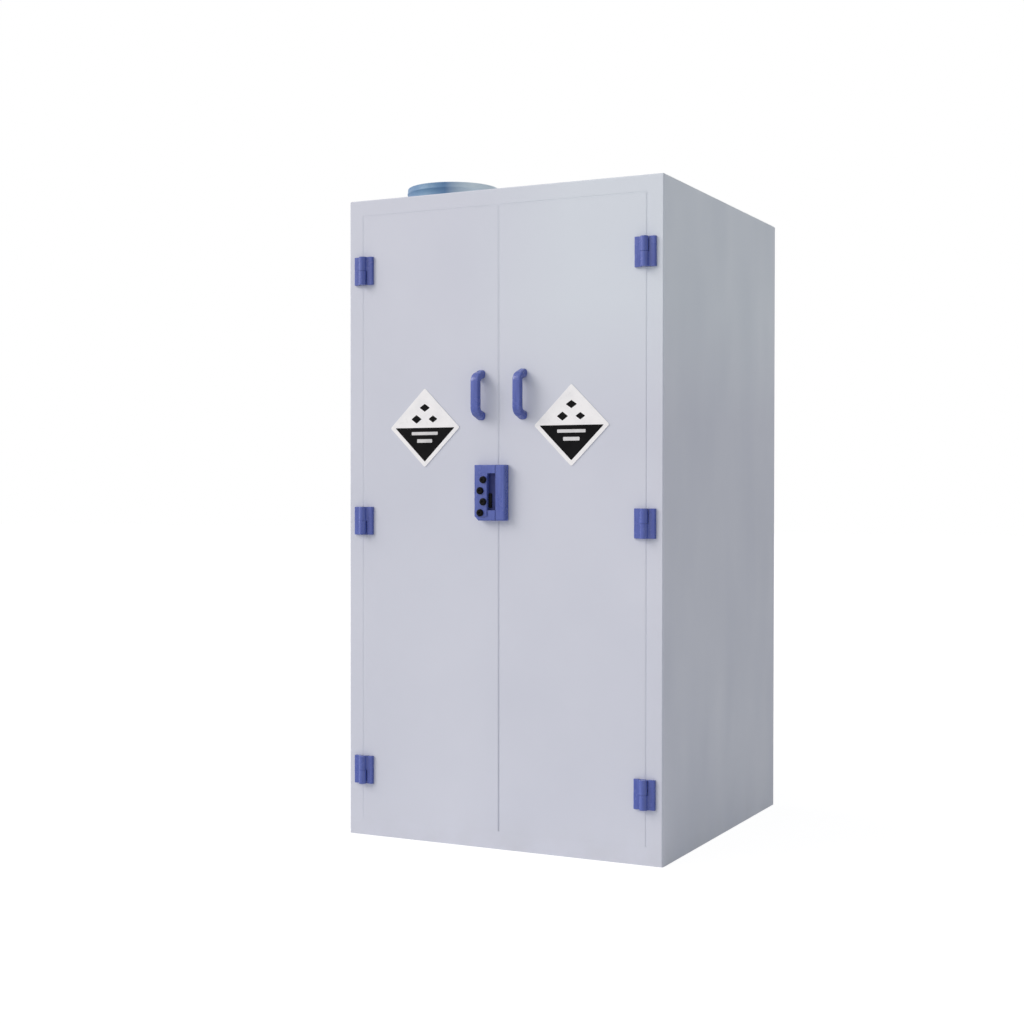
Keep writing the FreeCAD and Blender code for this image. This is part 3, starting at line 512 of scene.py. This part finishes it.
def addHinge(side, level):
    flip = 1 if side == "left" else -1
    for kind in ("frame", "door"):
        node = "hinge_%s_leaf_%s_%s" % (kind, side, level)
        low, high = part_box(node)
        outward = -flip if kind == "frame" else flip      # which way the leaf points from the pin
        axisX = (low[0] if outward < 0 else high[0]) - outward * hingeShape["reach"] * mm
        face = high[1]
        middle = (low[2] + high[2]) / 2
        seam = hingeShape["seam"] * mm

        def spot(u, v, z):
            return (axisX + outward * u * mm, face - v * mm, z)

        shape = bmesh.new()
        prism(shape, leafOutline(), spot, low[2], high[2])
        ends = (middle + seam, high[2]) if kind == "door" else (low[2], middle - seam)
        prism(shape, knuckleOutline(), spot, *ends)
        body = "carcass" if kind == "frame" else "door_" + side
        makePiece("hingeLeaf_%s_%s_%s" % (kind, side, level), shape, "blueFitting", body,
                  [node], edge=hingeShape["edge"] * mm)

for side in sides:
    for level in levels:
        addHinge(side, level)

pinShape = {"radius": 3.9, "domeRadius": 3, "short": 0.2, "dome": 0.3, "shoulder": 1.2, "steps": 28}

def addPins():
    # One domed pin through each pair of knuckles
    ends = [(0, pinShape["short"]), (pinShape["domeRadius"], pinShape["dome"]),
            (pinShape["radius"], pinShape["shoulder"])]
    for side in sides:
        shape = bmesh.new()
        for level in levels:
            low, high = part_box("hinge_frame_leaf_%s_%s" % (side, level))
            reach = hingeShape["reach"] * mm
            axisX = low[0] + reach if side == "left" else high[0] - reach
            axisY = high[1] - hingeShape["axisLift"] * mm
            profile = [(radius * mm, low[2] + inset * mm) for radius, inset in ends]
            profile += [(radius * mm, high[2] - inset * mm) for radius, inset in reversed(ends)]
            lathe(shape, profile, lambda u, v, z: (axisX + u, axisY + v, z), pinShape["steps"])
        makePiece("hingePins_" + side, shape, "blueFitting", "carcass", ["hinge_pins"])

addPins()
print("hinges built")


# Lock: caps with key sockets on the raised strip, and a bolt plate with a ridged black thumb grip
capShape = {"count": 4, "radius": 9, "dome": 2.0, "rim": 0.3, "rimRise": 0.4, "socket": 2.3,
            "socketDepth": 2.4, "socketBreak": 0.5, "socketTaper": 0.95, "steps": 40, "hair": 0.001,
            "domeShares": ((0, 1.3), (0.3, 0.6), (1, 0.15), (2, 0))}      # (inward, down), in dome heights

def addCaps():
    low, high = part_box("lock_caps")
    depth = high[1] - low[1]
    radius = capShape["radius"] * mm
    columns = (high[0] - radius, low[0] + radius)
    top = high[2] - radius
    step = (high[2] - low[2] - 2 * radius) / (capShape["count"] - 1)
    dome = capShape["dome"] * mm
    rimRise = capShape["rimRise"] * mm
    socket = capShape["socket"] * mm
    sink = capShape["socketDepth"] * mm
    hair = capShape["hair"] * mm
    profile = [(radius - capShape["rim"] * mm, 0), (radius, rimRise)]
    profile += [(radius - dome * inward, depth - dome * down) for inward, down in capShape["domeShares"]]
    profile += [(socket + capShape["socketBreak"] * mm, depth), (socket, depth - rimRise),
                (socket * capShape["socketTaper"], depth - sink), (0, depth - sink)]
    for number in range(capShape["count"]):
        shape = bmesh.new()
        centreX = columns[number % 2]
        centreZ = top - number * step
        lathe(shape, profile, lambda u, v, h: (centreX + u, high[1] - h, centreZ + v), capShape["steps"])
        base = [vert for vert in shape.verts if abs(vert.co.y - high[1]) < hair]
        bmesh.ops.contextual_create(shape, geom=base)
        makePiece("lockCap_%d" % (number + 1), shape, "blackCap", "door_left", ["lock_caps"])

boltShape = {"plate": 8, "lip": 4.3, "gripWidth": 8, "gripDrop": 22, "gripTall": 36, "ridges": 6,
             "ridgeSteps": 8, "ridgeDepth": 1.1, "gripEnd": 2, "gripStep": 2.5, "gripSunk": 0.5,
             "edge": 1.0, "gripEdge": 0.5}

def addBolt():
    low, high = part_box("lock_bolt")
    plateFront = high[1] - boltShape["plate"] * mm
    plate = bmesh.new()
    block(plate, (low[0], plateFront, low[2]), (high[0], high[1], high[2]))
    # the bolt plate is painted darker, standing in for the shade inside the lock's recess
    makePiece("boltPlate", plate, "recessShadeBlue", "bolt", ["lock_bolt"],
              edge=boltShape["edge"] * mm)
    gripLeft = low[0] + boltShape["lip"] * mm
    middle = (low[2] + high[2]) / 2 - boltShape["gripDrop"] * mm
    half = boltShape["gripTall"] / 2
    deep = (plateFront - low[1]) / mm
    count = boltShape["ridges"] * boltShape["ridgeSteps"]
    crestEnd = half - boltShape["gripEnd"]
    crest = []
    for step in range(count + 1):
        wave = 0.5 + 0.5 * math.cos(2 * math.pi * boltShape["ridges"] * step / count)
        crest.append((crestEnd - 2 * crestEnd * step / count, deep - boltShape["ridgeDepth"] * wave))
    foot = -boltShape["gripSunk"]
    shoulder = deep - boltShape["gripStep"]
    outline = [(-half, foot), (half, foot), (half, shoulder)] + crest + [(-half, shoulder)]
    grip = bmesh.new()
    prism(grip, outline, lambda u, v, x: (x, plateFront - v * mm, middle + u * mm),
          gripLeft, gripLeft + boltShape["gripWidth"] * mm)
    # the grip is black moulding, and its black also stands in for the shade low in the lock's recess
    makePiece("boltGrip", grip, "blackCap", "bolt", edge=boltShape["gripEdge"] * mm)

addCaps()
addBolt()
print("lock built")


# Duct collar: tube with a rolled rim, two grip beads for the sleeve's band, a flange and its weld
collarShape = {"flangeWidth": 22, "wall": 6, "rimRound": 2.4, "beads": (24, 46), "beadHalf": 4,
               "beadRise": 1.2, "flange": 6, "flangeRound": 2, "flangeMargin": 0.3, "hollow": 3,
               "overlap": 1, "lift": 0.1, "weld": 4, "weldIn": 0.4, "weldLift": 0.2,
               "steps": 96, "rollSteps": 5, "beadSteps": 6, "edgeSteps": 4, "weldSteps": 6}

def addCollar():
    low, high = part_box("duct_collar")
    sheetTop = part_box("top_panel")[1][2]
    centre = ((low[0] + high[0]) / 2, (low[1] + high[1]) / 2)
    flange = (high[0] - low[0]) / 2 / mm
    tall = (high[2] - sheetTop) / mm
    under = (low[2] - sheetTop) / mm
    shape = collarShape
    outer = flange - shape["flangeWidth"] - shape["beadRise"]
    bore = flange - shape["flangeWidth"] - shape["wall"]
    hollow = shape["hollow"]
    hollowTop = shape["flange"] + hollow

    def turned(mesh, outline):
        lathe(mesh, [(radius * mm, height * mm) for radius, height in outline],
              lambda u, v, h: (centre[0] + u, centre[1] + v, sheetTop + h), shape["steps"], closed=True)

    profile = [(bore, under), (outer, under), (outer, hollowTop)]
    for bead in shape["beads"]:
        for step in range(shape["beadSteps"] + 1):
            share = step / shape["beadSteps"]
            profile.append((outer + shape["beadRise"] * math.sin(math.pi * share),
                            bead - shape["beadHalf"] + 2 * shape["beadHalf"] * share))
    roll = shape["rimRound"]
    profile += arcPoints((outer - roll, tall - roll), roll, 0, 90, shape["rollSteps"])
    profile += arcPoints((bore + roll, tall - roll), roll, 90, 180, shape["rollSteps"])
    mesh = bmesh.new()
    turned(mesh, profile)
    edge = shape["flangeRound"]
    inner = outer - shape["overlap"]
    ring = [(inner, shape["lift"]), (flange - shape["flangeMargin"], shape["lift"])]
    ring += arcPoints((flange - edge, shape["flange"] - edge), edge, 0, 90, shape["edgeSteps"])
    ring.append((outer + hollow, shape["flange"]))
    ring += arcPoints((outer + hollow, hollowTop), hollow, 270, 180, shape["edgeSteps"])
    ring.append((inner, hollowTop))
    turned(mesh, ring)
    makePiece("ductCollar", mesh, "ductBlue", "carcass", ["duct_collar"])
    weld = bmesh.new()
    weldCentre = (flange - shape["weldIn"], shape["weldLift"])
    turned(weld, arcPoints(weldCentre, shape["weld"] / 2, 0, 180, shape["weldSteps"]))
    makePiece("collarWeld", weld, "innerSheet", "carcass")

addCollar()
print("collar built")


# Diamond plates: white plate, black lower half, blank bars and plain lozenges in print
# A bar is (drop, width, height), a lozenge (x, z, half width, half height), both from the plate's middle
plateShape = {"corner": 5, "edge": 0.5, "margin": 10.5, "printSunk": 0.05, "printRise": 0.25,
              "barRise": 0.12, "darkCorner": 1.0, "lozengeCorner": 1.5, "barCorner": 2, "cornerSteps": 4,
              "bars": ((14.5, 76, 8), (33.5, 44, 9)),
              "lozenges": ((-24, 22, 15, 11), (24, 22, 13, 9), (0, 51, 15, 10))}

def roundedOutline(corners, radius):
    outline = []
    total = len(corners)
    count = plateShape["cornerSteps"]
    for number in range(total):
        here = Vector(corners[number])
        before = (Vector(corners[number - 1]) - here).normalized()
        after = (Vector(corners[(number + 1) % total]) - here).normalized()
        half = before.angle(after) / 2
        reach = radius / math.tan(half)
        start = here + before * reach
        end = here + after * reach
        for step in range(count + 1):
            share = step / count
            outline.append(tuple(start.lerp(here, share).lerp(here.lerp(end, share), share)))
    return outline

def addPlate(side):
    low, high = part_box("placard_" + side)
    centreX = (low[0] + high[0]) / 2
    centreZ = (low[2] + high[2]) / 2
    half = (high[0] - low[0]) / 2 / mm + plateShape["corner"] * (math.sqrt(2) - 1)
    thick = (high[1] - low[1]) / mm

    def spot(u, v, lift):
        return (centreX + u * mm, high[1] - lift * mm, centreZ + v * mm)

    plate = bmesh.new()
    diamond = [(0, half), (half, 0), (0, -half), (-half, 0)]
    prism(plate, roundedOutline(diamond, plateShape["corner"]), spot, 0, thick)
    makePiece("plate_" + side, plate, "plateWhite", "door_" + side, ["placard_" + side],
              edge=plateShape["edge"] * mm)
    inner = half - plateShape["margin"] * math.sqrt(2)
    layers = (thick - plateShape["printSunk"], thick + plateShape["printRise"])
    dark = bmesh.new()
    lowerHalf = [(-inner, 0), (inner, 0), (0, -inner)]
    prism(dark, roundedOutline(lowerHalf, plateShape["darkCorner"]), spot, *layers)
    for x, z, wide, tall in plateShape["lozenges"]:
        lozenge = [(x, z + tall), (x + wide, z), (x, z - tall), (x - wide, z)]
        prism(dark, roundedOutline(lozenge, plateShape["lozengeCorner"]), spot, *layers)
    makePiece("plateDark_" + side, dark, "printBlack", "door_" + side, smooth=False)
    pale = bmesh.new()
    paleTop = layers[1] + plateShape["barRise"]
    for drop, wide, tall in plateShape["bars"]:
        foot = -drop - tall / 2
        top = -drop + tall / 2
        corners = [(-wide / 2, foot), (wide / 2, foot), (wide / 2, top), (-wide / 2, top)]
        prism(pale, roundedOutline(corners, plateShape["barCorner"]), spot, layers[0], paleTop)
    makePiece("plateBars_" + side, pale, "printGrey", "door_" + side, smooth=False)

for side in sides:
    addPlate(side)
print("plates built")


# Seals: pale lips just behind the door faces, so that the gaps read shallow
# The pairs are how far each is set back and how much of the gap it leaves open
sealShape = {"left": (0.45, 0.12), "right": (1.0, 0.10), "top": (0.45, 0.12), "bottom": (0.05, 0.04),
             "meetingTop": (0.55, 0.08), "meetingFoot": (1.6, 0.3), "depth": 6}

def addSeals():
    leftLow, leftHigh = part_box("door_skin_left")
    rightLow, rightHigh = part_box("door_skin_right")
    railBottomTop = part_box("rail_bottom")[1][2]
    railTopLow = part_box("rail_top")[0][2]
    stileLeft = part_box("stile_left")[1][0]
    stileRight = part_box("stile_right")[0][0]
    near = {place: leftLow[1] + sealShape[place][0] * mm for place in ("left", "right", "top", "bottom")}
    hair = {place: sealShape[place][1] * mm for place in near}
    far = leftLow[1] + sealShape["depth"] * mm
    frameSeal = bmesh.new()
    top = leftHigh[2] + hair["top"]
    bottom = leftLow[2] - hair["bottom"]
    block(frameSeal, (stileLeft, near["left"], bottom), (leftLow[0] - hair["left"], far, top))
    block(frameSeal, (rightHigh[0] + hair["right"], near["right"], bottom), (stileRight, far, top))
    block(frameSeal, (stileLeft, near["top"], top), (stileRight, far, railTopLow))
    block(frameSeal, (stileLeft, near["bottom"], railBottomTop), (stileRight, far, bottom))
    makePiece("frameSeal", frameSeal, "paleSheet", "carcass", smooth=False)
    # The two lips at the meeting edge lie deeper and further apart towards the floor
    footBack, footOpen = sealShape["meetingFoot"]
    topBack, topOpen = sealShape["meetingTop"]
    for side, outer, way in (("left", leftHigh[0], -1), ("right", rightLow[0], 1)):

        def spot(across, inward, rise):
            tip = way * (footOpen + (topOpen - footOpen) * rise) * mm
            face = leftLow[1] + (footBack + (topBack - footBack) * rise) * mm
            height = leftLow[2] + (leftHigh[2] - leftLow[2]) * rise
            return (outer + (tip - outer) * across, face + (far - face) * inward, height)

        lip = bmesh.new()
        prism(lip, [(0, 0), (1, 0), (1, 1), (0, 1)], spot, 0, 1)
        makePiece("meetingSeal_" + side, lip, "paleSheet", "door_" + side, smooth=False)

addSeals()
print("seals built")


# Inside: weld beads in the corners, and white screw heads with sockets on the liners
weldShape = {"leg": 5.0, "ripple": 0.5, "pitch": 9.0, "crown": 0.62}

def weldBead(shape, start, end, one, other):
    # A rippled bead with a low crown; one and other point along the two sheets it joins
    start, end = Vector(start), Vector(end)
    one, other = Vector(one), Vector(other)
    length = (end - start).length
    count = max(2, int(length / (weldShape["pitch"] * mm / 2)))
    rings = []
    for step in range(count + 1):
        leg = (weldShape["leg"] + weldShape["ripple"] * (step % 2)) * mm
        spot = start.lerp(end, step / count)
        crown = spot + (one + other) * leg * weldShape["crown"]
        corners = (spot, spot + one * leg, crown, spot + other * leg)
        rings.append([shape.verts.new(corner) for corner in corners])
    for first, second in zip(rings, rings[1:]):
        for step in range(len(first)):
            following = (step + 1) % len(first)
            shape.faces.new((first[step], first[following], second[following], second[step]))
    shape.faces.new(rings[0][::-1])
    shape.faces.new(rings[-1])

def addWelds():
    towardsFront, down, up = (0, -1, 0), (0, 0, -1), (0, 0, 1)
    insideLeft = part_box("side_panel_left")[1][0]
    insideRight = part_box("side_panel_right")[0][0]
    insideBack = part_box("back_panel")[0][1]
    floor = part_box("floor_panel")[1][2]
    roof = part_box("top_panel")[0][2]
    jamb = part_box("stile_left")[1][1]
    shape = bmesh.new()
    for x, way in ((insideLeft, 1), (insideRight, -1)):
        inward = (way, 0, 0)
        weldBead(shape, (x, insideBack, floor), (x, insideBack, roof), inward, towardsFront)
        weldBead(shape, (x, jamb, roof), (x, insideBack, roof), inward, down)
        weldBead(shape, (x, jamb, floor), (x, insideBack, floor), inward, up)
    weldBead(shape, (insideLeft, insideBack, roof), (insideRight, insideBack, roof), towardsFront, down)
    makePiece("insideWelds", shape, "innerSheet", "carcass")

addWelds()

screwShape = {"head": 7, "rise": 3.2, "socket": 1.92, "socketFoot": 0.36, "handleInset": 10, "leafInset": 14,
              "steps": 24, "domeShares": ((0, 0), (1, 0), (1, 0.45), (0.86, 0.85), (0.55, 1), (0.4, 1))}

def addScrews():
    for side in sides:
        handleLow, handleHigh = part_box("handle_" + side)
        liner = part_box("door_liner_" + side)[1][1]
        middleX = (handleLow[0] + handleHigh[0]) / 2
        shape = bmesh.new()
        inset = screwShape["handleInset"] * mm
        spots = [(middleX, handleLow[2] + inset), (middleX, handleHigh[2] - inset)]
        leaf = screwShape["leafInset"] * mm
        for level in levels:
            low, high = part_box("hinge_door_leaf_%s_%s" % (side, level))
            outer = high[0] - leaf if side == "left" else low[0] + leaf
            spots += [(outer, low[2] + leaf), (outer, high[2] - leaf)]
        head = screwShape["head"] * mm
        rise = screwShape["rise"] * mm
        socketFloor = rise - screwShape["socket"] * mm
        profile = [(head * across, rise * up) for across, up in screwShape["domeShares"]]
        profile += [(head * screwShape["socketFoot"], socketFloor), (0, socketFloor)]
        for x, z in spots:
            lathe(shape, profile, lambda u, v, h: (x + u, liner + h, z + v), screwShape["steps"])
        makePiece("linerScrews_" + side, shape, "whiteScrew", "door_" + side)

addScrews()
print("inside details built")


# Stage: pale floor, white surroundings, a window-like light from the left with a wide soft one around it
stageSettings = {"ambient": 0.382, "ambientTint": (0.925, 0.963, 1.0), "lampTint": (1.0, 0.93, 0.88),
                 "lamps": {"keyLamp": (1.45, 34), "softLamp": (1.18, 110)},      # (power, spread in degrees)
                 "lampPlace": (-7.6, -6.2, 6.2), "lampTarget": (0, -0.4, 0.85),
                 "floorHalf": 30, "floorCells": 8, "floorGlow": 1.16, "floorShare": 0.80,
                 "floorColour": (0.86, 0.86, 0.87)}

def anyRay(tree, names):
    light = tree.nodes.new("ShaderNodeLightPath")
    value = light.outputs[names[0]]
    for name in names[1:]:
        joined = tree.nodes.new("ShaderNodeMath")
        joined.operation = "MAXIMUM"
        tree.links.new(value, joined.inputs[0])
        tree.links.new(light.outputs[name], joined.inputs[1])
        value = joined.outputs["Value"]
    return value

def addWorld():
    world = bpy.data.worlds.new("paleRoom")
    world.use_nodes = True
    tree = world.node_tree
    tree.nodes.clear()
    output = tree.nodes.new("ShaderNodeOutputWorld")
    background = tree.nodes.new("ShaderNodeBackground")
    seen = anyRay(tree, ["Is Camera Ray", "Is Glossy Ray", "Is Transmission Ray"])
    tint = blendColours(tree, seen, stageSettings["ambientTint"], (1.0, 1.0, 1.0))
    tree.links.new(tint, background.inputs["Color"])
    tree.links.new(remap(tree, seen, 0, 1, stageSettings["ambient"], 1.0), background.inputs["Strength"])
    tree.links.new(background.outputs["Background"], output.inputs["Surface"])
    bpy.context.scene.world = world

def addFloor():
    shape = bmesh.new()
    cells = stageSettings["floorCells"]
    bmesh.ops.create_grid(shape, x_segments=cells, y_segments=cells, size=stageSettings["floorHalf"])
    mesh = bpy.data.meshes.new("floor")
    shape.to_mesh(mesh)
    shape.free()
    floor = bpy.data.objects.new("floor", mesh)
    bpy.context.collection.objects.link(floor)
    material = bpy.data.materials.new("paleFloor")
    material.use_nodes = True
    tree = material.node_tree
    tree.nodes.clear()
    output = tree.nodes.new("ShaderNodeOutputMaterial")
    matte = tree.nodes.new("ShaderNodeBsdfDiffuse")
    matte.inputs["Color"].default_value = (*stageSettings["floorColour"], 1)
    glow = tree.nodes.new("ShaderNodeEmission")
    glow.inputs["Strength"].default_value = stageSettings["floorGlow"]
    mixer = tree.nodes.new("ShaderNodeMixShader")
    seen = anyRay(tree, ["Is Camera Ray", "Is Glossy Ray", "Is Transmission Ray"])
    tree.links.new(remap(tree, seen, 0, 1, 0, stageSettings["floorShare"]), mixer.inputs[0])
    tree.links.new(matte.outputs["BSDF"], mixer.inputs[1])
    tree.links.new(glow.outputs["Emission"], mixer.inputs[2])
    tree.links.new(mixer.outputs["Shader"], output.inputs["Surface"])
    mesh.materials.append(material)

def addLamps():
    aim = Vector(stageSettings["lampTarget"]) - Vector(stageSettings["lampPlace"])
    for name, (power, spread) in stageSettings["lamps"].items():
        data = bpy.data.lights.new(name, "SUN")
        data.angle = math.radians(spread)
        data.energy = power
        data.color = stageSettings["lampTint"]
        lamp = bpy.data.objects.new(name, data)
        lamp.location = stageSettings["lampPlace"]
        lamp.rotation_euler = aim.to_track_quat("-Z", "Y").to_euler()
        bpy.context.collection.objects.link(lamp)

addWorld()
addFloor()
addLamps()
bpy.context.scene.view_settings.view_transform = "Standard"
print("stage set")
